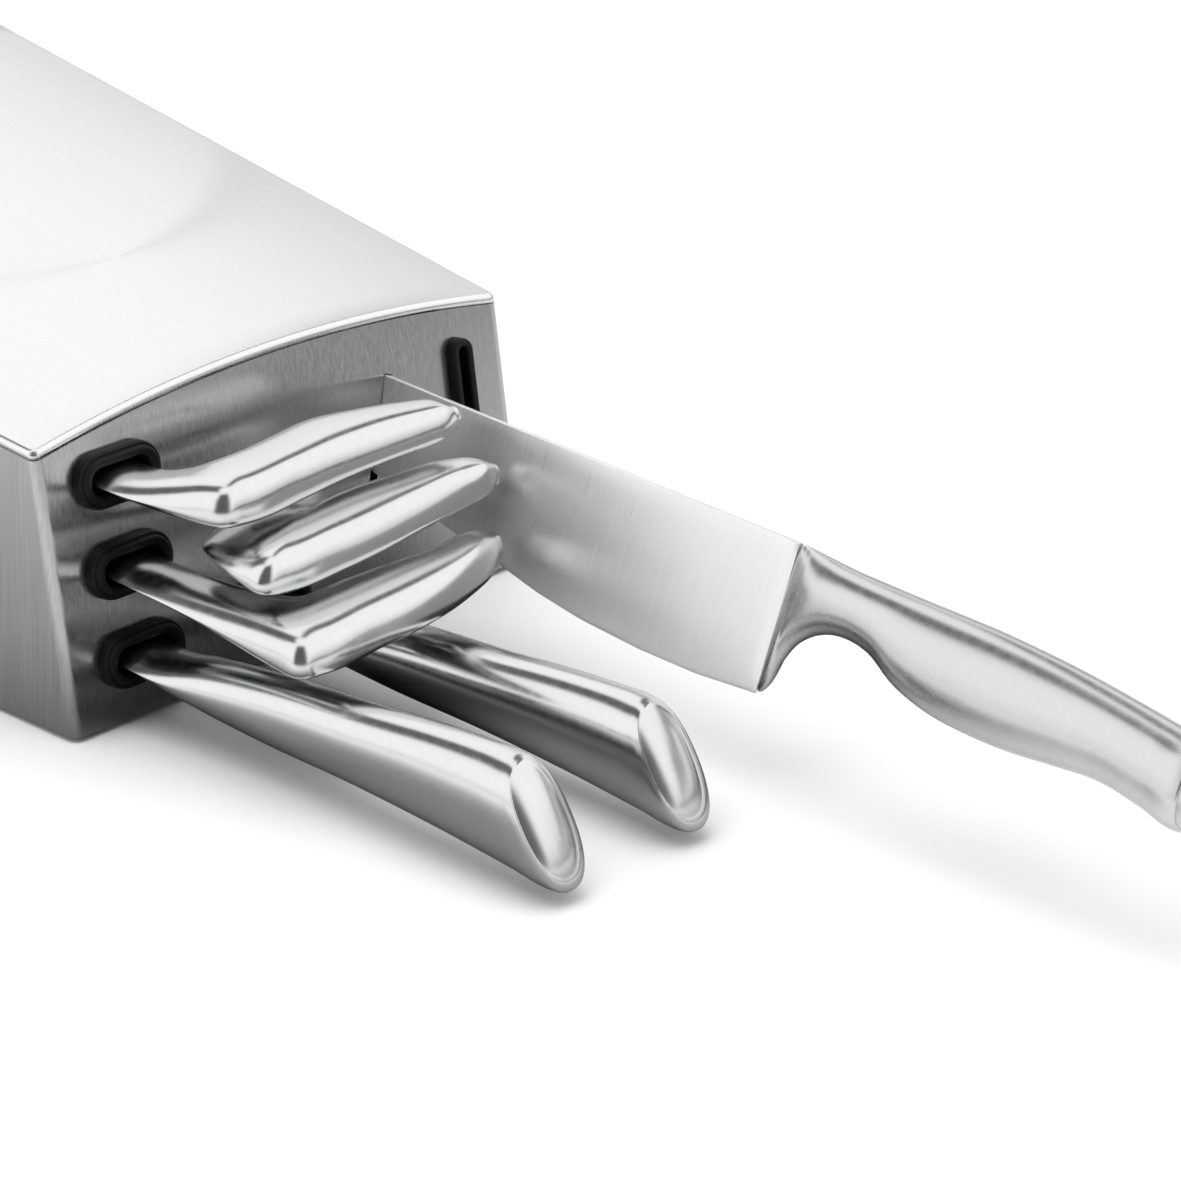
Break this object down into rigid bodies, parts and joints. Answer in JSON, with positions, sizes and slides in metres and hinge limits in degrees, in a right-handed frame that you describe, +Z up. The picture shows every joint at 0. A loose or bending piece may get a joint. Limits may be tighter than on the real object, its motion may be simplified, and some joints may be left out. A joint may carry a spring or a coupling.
{
  "type": "knife block with knives",
  "caption": "Low brushed-steel knife block with a domed top, its steel-handled knives lying in rubber-lined slots and one slot left free.",
  "frame": {"origin": "centre of the base mat's underside, on the surface that the block stands on", "axes": "+Z up, +Y into the block from its front panel, so the knives come out along -Y; +X to the right, seen from the front"},
  "size_m": [0.1898, 0.4975, 0.1027],
  "materials": {
    "brushed_shell": "fine vertical brushing",
    "satin_steel": "satin polished",
    "blade_steel": "brushed across the blade",
    "zinc_plate": "plain zinc plated",
    "rubber": "smooth moulded rubber",
    "dark_plastic": "plain moulded"
  },
  "bodies": {
    "block": {"shell_left": "brushed_shell", "shell_right": "brushed_shell", "shell_top": "brushed_shell", "front_panel": "brushed_shell", "rear_panel": "brushed_shell", "base_plate": "zinc_plate", "base_screw_1": "zinc_plate", "base_screw_2": "zinc_plate", "base_screw_3": "zinc_plate", "base_screw_4": "zinc_plate", "base_mat": "rubber", "rib_1": "dark_plastic", "rib_2": "dark_plastic", "sleeve_a": "dark_plastic", "sleeve_b": "dark_plastic", "sleeve_c": "dark_plastic", "sleeve_d": "dark_plastic", "sleeve_e": "dark_plastic", "sleeve_chef": "dark_plastic", "sleeve_free_left": "dark_plastic", "sleeve_free_right": "dark_plastic", "grommet_a": "rubber", "grommet_b": "rubber", "grommet_c": "rubber", "grommet_d": "rubber", "grommet_e": "rubber", "grommet_free": "rubber", "rib_1_side": "dark_plastic"},
    "knife_a": {"blade_a": "blade_steel", "handle_a": "satin_steel"},
    "knife_b": {"blade_b": "blade_steel", "handle_b": "satin_steel"},
    "knife_c": {"blade_c": "blade_steel", "handle_c": "satin_steel"},
    "knife_d": {"blade_d": "blade_steel", "handle_d": "satin_steel", "cap_d": "satin_steel"},
    "knife_e": {"blade_e": "blade_steel", "handle_e": "satin_steel", "cap_e": "satin_steel"},
    "knife_chef": {"blade_chef": "blade_steel", "bolster_chef": "satin_steel", "handle_chef": "satin_steel", "cap_chef": "satin_steel"}
  },
  "joints": [
    {"name": "knife_a_slide", "type": "slide", "parent": "block", "child": "knife_a", "axis": [0, -1, 0], "range_m": [0, 0.1]},
    {"name": "knife_b_slide", "type": "slide", "parent": "block", "child": "knife_b", "axis": [0, -1, 0], "range_m": [0, 0.075]},
    {"name": "knife_c_slide", "type": "slide", "parent": "block", "child": "knife_c", "axis": [0, -1, 0], "range_m": [0, 0.1]},
    {"name": "knife_d_slide", "type": "slide", "parent": "block", "child": "knife_d", "axis": [0, -1, 0], "range_m": [0, 0.1]},
    {"name": "knife_e_slide", "type": "slide", "parent": "block", "child": "knife_e", "axis": [0, -1, 0], "range_m": [0, 0.1]},
    {"name": "knife_chef_slide", "type": "slide", "parent": "block", "child": "knife_chef", "axis": [0.025, -0.9995, -0.019], "range_m": [-0.03, 0.06]}
  ]
}
